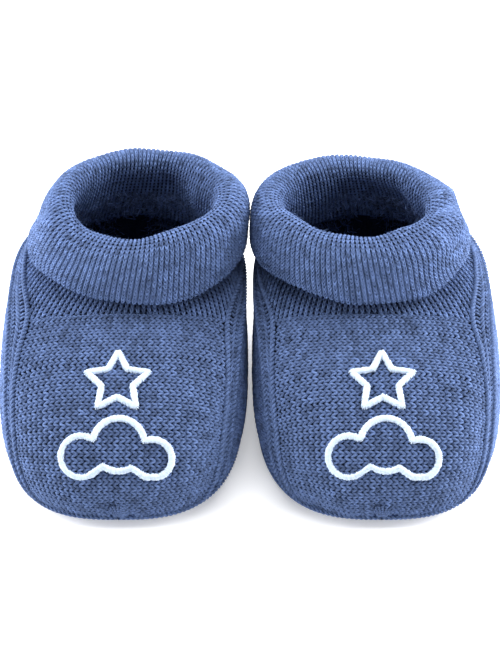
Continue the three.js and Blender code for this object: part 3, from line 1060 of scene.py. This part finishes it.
def cloud_line():
    """Middle line of the cloud's band: three round lobes over a flat base."""
    lobes = np.array(CLOUD_LOBES) * CLOUD_WIDTH
    base = -CLOUD_BASE * CLOUD_WIDTH + CLOUD_INSET
    angle = np.linspace(0, 2 * math.pi, 721)
    way = joined(np.cos(angle), np.sin(angle))
    along = way @ lobes[:, :2].T
    off = (lobes[:, :2] ** 2).sum(axis=1) - along**2
    room = (lobes[:, 2] - CLOUD_INSET) ** 2 - off
    reach = np.where(room > 0, along + np.sqrt(np.maximum(room, 0)), 0).max(axis=1)
    down = way[:, 1] < 0
    reach[down] = np.minimum(reach[down], base / way[down, 1])
    return way * reach[:, None]


def satin(foot, name, outline, centre_y, centre_z, slope, node_name):
    """Threads laid side by side across the band, arched over it and sunk into the knit at both ends."""
    build = Build()
    clear = 20
    count = int(lengths(outline)[-1] / THREAD_SPACING)
    path = evenly(outline, count)
    tangent = unit(np.gradient(path, axis=0))
    for _ in range(SMOOTHING_ROUNDS):
        tangent[1:-1] = unit(tangent[:-2] + tangent[1:-1] + tangent[2:])
    aside = joined(tangent[:, 1], -tangent[:, 0])
    half_band = HALF_BAND + rng.normal(0, BAND_UNEVENNESS, count)
    across = np.linspace(-1, 1, THREAD_POINTS)
    slant = THREAD_SLANT * across
    flat = (
        path[:, None]
        + aside[:, None] * (half_band[:, None] * across)[..., None]
        + tangent[:, None] * slant[:, None]
    )
    angle = math.radians(slope)
    upward = np.array([0, math.cos(angle), math.sin(angle)])
    outward = np.array([0, -math.sin(angle), math.cos(angle)])
    places = (
        np.array([0, centre_y, centre_z])
        + flat[..., :1] * [1.0, 0, 0]
        + flat[..., 1:] * upward
        + outward * clear
    ).reshape(-1, 3)
    found = foot.cast(places, -outward).reshape(count, THREAD_POINTS, 6)
    normals = -found[..., 3:]
    arch = THREAD_LIFT + THREAD_ARCH * (1 - across**4)
    centres = found[..., :3] + normals * arch[:, None]
    tint = rng.uniform(0.25, 0.75, (count, 1))
    tubes(build, centres, normals, THREAD_RADIUS, THREAD_SIDES, YARN_SLOT, tint, strips=0.05)
    finish(build, foot, name, [THREAD], node_name)


def embroidery(foot):
    """A star over a cloud."""
    satin(foot, "star_stitches", star_line(), *STAR_PLACE, "embroidered_star")
    satin(foot, "cloud_stitches", cloud_line(), *CLOUD_PLACE, "embroidered_cloud")


# --- Cuff ---

def ankle_rows(foot, heights):
    """Inner face of the ankle at height shares from the base of the tube (0) to the fold (1)."""
    front_y, back_y, front_z, back_z, half, lean, _ = foot.rows[-1]
    front_inset, back_inset, side_inset = MOUTH_INSET

    def mix(low, high):
        return low + (high - low) * heights

    return joined(
        mix(front_y + WALL, front_y + front_inset * FOOT_LENGTH),
        mix(back_y - WALL, back_y - back_inset * FOOT_LENGTH),
        mix(front_z, front_z + CUFF_HEIGHT),
        mix(back_z, back_z + CUFF_HEIGHT),
        mix(half - WALL, half - side_inset * HALF_WIDTH),
        mix(lean, math.copysign(ANKLE_LEAN, lean)),
        ANKLE_SQUARENESS,
    )


def hem_waves(angle):
    """Three broad waves and seven small ones round the hem."""
    return np.sin(3 * angle + 0.6) + 0.5 * np.sin(7 * angle)


def hung_fold(foot, path, turn):
    """Points of the fold before it creases: its layers, with a waved hem and sags."""
    height = path[:, 0] / CUFF_HEIGHT
    ovals = ankle_rows(foot, height)
    places = oval(ovals, turn)
    along = oval(ovals, turn + 1e-3) - places
    outward = unit(joined(along[..., 1], -along[..., 0], 0))
    hanging = np.where(path[:, 1] > 0.5 * ROLL_DEPTH, np.clip(0.7 - height, 0, 1), 0)
    spread = path[:, 1] + HEM_FLARE * hem_waves(turn) * hanging
    points = places + outward * spread[..., None]
    degrees = np.degrees(turn)
    sag = sum(drop * hump(turned(degrees, middle), 0, width) for middle, width, drop in SAGS[foot.name])
    points[..., 2] += HEM_DIP * hem_waves(turn + 1) * hanging - sag * np.clip(height, 0, 1) ** 2
    v = np.linspace(0, 1, len(path))
    middle, width, aside = SWAYS[foot.name]
    bend = np.sin(5 * math.pi * (v - 0.5)) * hump(v, 0.7, 0.22)
    sway = aside * hump(turned(degrees, middle), 0, width) * bend
    return points + unit(along) * sway[..., None]


def creased(foot, turn, rows):
    """How far each point of the fold moves out for the fabric's swells and creases."""
    u = np.linspace(0, 1, len(turn))[:, None]
    v = np.linspace(0, 1, rows)
    move = unevenness(u, v, 21 + foot.side, CUFF_SWELL)
    for angle, width, place, reach, lean, amount in CREASES[foot.name]:
        off = turned(np.degrees(turn) - lean * (v - place), angle)
        move = move + amount * hump(off, 0, width) * hump(v, place, reach)
    move[-1] = move[0]
    return move


def cuff_patch(foot):
    """The fold's surface: u runs round the ankle, v up the inside, over the fold and down to the hem."""
    columns, rows = 361, 150
    turn = even_angles(foot.rows[-1], columns)[:, None]
    path = evenly(spline(CUFF_PATH * [CUFF_HEIGHT, ROLL_DEPTH], FINE), rows)
    points = hung_fold(foot, path, turn)
    points[-1] = points[0]
    return Patch(points, closed=True, flip=True).moved(creased(foot, turn, rows))


def yoke_patches(foot):
    """From the middle of the ankle tube down over the foot: as far as the seams, and past them."""
    columns, rows = 241, 80
    reach = 34.0
    heights = np.array([0.4, 0.2, 0.0])
    tube = ankle_rows(foot, heights)
    tube[:, 0] -= WALL
    tube[:, 1] += WALL
    tube[:, 4] += WALL
    whole = np.zeros((columns, rows, 3))
    edge = np.zeros((columns, rows, 3))
    for i, angle in enumerate(even_angles(foot.rows[-1], columns)):
        upper = oval(tube, np.full(len(heights), angle))
        line = evenly(np.vstack([upper, foot.column(angle)[::-1][1:]]), 600)
        outside = np.where(~on_yoke(line))[0]
        last = lengths(line)[outside[0]] if len(outside) else None
        whole[i] = evenly(line, rows, reach)
        edge[i] = evenly(line, rows, last)
    whole[-1] = whole[0]
    edge[-1] = edge[0]
    return Patch(edge, closed=True, flip=True), Patch(whole, closed=True, flip=True)


def on_yoke(points):
    """True where a point lies on top of the foot, behind the collar seam."""
    return above_seam(points) & (points[..., 1] > COLLAR_SEAM_Y)


def cuff(foot):
    """The folded cuff and the yoke below it, in one piece of rib."""
    build = Build()
    patch = cuff_patch(foot)
    slab(build, patch, *CUFF_BACKING)
    knit(build, patch, *CUFF_STITCHES, RIB)
    fuzz(build, patch, FUZZ_COUNTS["cuff"])
    backing, yarn = yoke_patches(foot)
    slab(build, backing, *YOKE_BACKING)
    pile(build, backing, YOKE_BACKING[1], INWARD, PILE_COUNTS["yoke"], FLEECE_SLOT)
    knit(build, yarn, *YOKE_STITCHES, RIB, keep=on_yoke)
    finish(build, foot, "cuff_knit", [RIB_BLUE_PAINTED_LIGHT, BACKING, FLEECE], "ribbed_cuff")


# --- Scene ---

def aim(thing, location, target):
    """Sets a camera or lamp down, turned towards the target."""
    bpy.context.scene.collection.objects.link(thing)
    thing.location = location
    thing.rotation_euler = (Vector(target) - thing.location).to_track_quat("-Z", "Y").to_euler()


def camera():
    """The view from the front and above."""
    data = bpy.data.cameras.new("camera")
    data.sensor_fit = "HORIZONTAL"
    data.lens = LENS
    thing = bpy.data.objects.new("camera", data)
    elevation = math.radians(CAMERA_ELEVATION)
    target = Vector((0, 0, CAMERA_AIM))
    towards = Vector((0, -math.cos(elevation), math.sin(elevation)))
    aim(thing, target + towards * CAMERA_DISTANCE, target)
    bpy.context.scene.camera = thing


def lamp(name, location, size, power):
    """A rectangular lamp that shines at the booties."""
    data = bpy.data.lights.new(name, "AREA")
    data.shape = "RECTANGLE"
    data.size, data.size_y = size
    data.energy = power
    aim(bpy.data.objects.new(name, data), location, LIGHT_AIM)


def studio():
    """A white sky and three lamps."""
    scene = bpy.context.scene
    world = bpy.data.worlds.new("studio")
    world.use_nodes = True
    background = world.node_tree.nodes["Background"]
    background.inputs["Color"].default_value = (1, 1, 1, 1)
    background.inputs["Strength"].default_value = SKY_STRENGTH
    scene.world = world
    scene.view_settings.view_transform = "Standard"
    for name, settings in LIGHTS.items():
        lamp(name, *settings)


def floor():
    """A large white floor that glows a little."""
    reach = 3.0
    edge = [(-reach, -reach, 0), (reach, -reach, 0), (reach, reach, 0), (-reach, reach, 0)]
    mesh = bpy.data.meshes.new("floor")
    mesh.from_pydata(edge, [], [(0, 1, 2, 3)])
    material = bpy.data.materials.new("floor")
    material.use_nodes = True
    shader = material.node_tree.nodes["Principled BSDF"]
    shader.inputs["Base Color"].default_value = (0.92, 0.92, 0.92, 1)
    shader.inputs["Roughness"].default_value = 0.9
    shader.inputs["Emission Color"].default_value = (1, 1, 1, 1)
    shader.inputs["Emission Strength"].default_value = FLOOR_GLOW
    mesh.materials.append(material)
    thing = bpy.data.objects.new("floor", mesh)
    bpy.context.scene.collection.objects.link(thing)


def bootie(name, side):
    foot = Foot(name, side)
    sole(foot)
    insole(foot)
    instep(foot)
    cuff(foot)
    for which, direction in (("inner", foot.inward), ("outer", side)):
        side_strip(foot, direction, which)
        side_panel(foot, direction, which)
    seams(foot)
    toe_gather(foot)
    embroidery(foot)


camera()
studio()
floor()
bootie("left", -1)
bootie("right", 1)
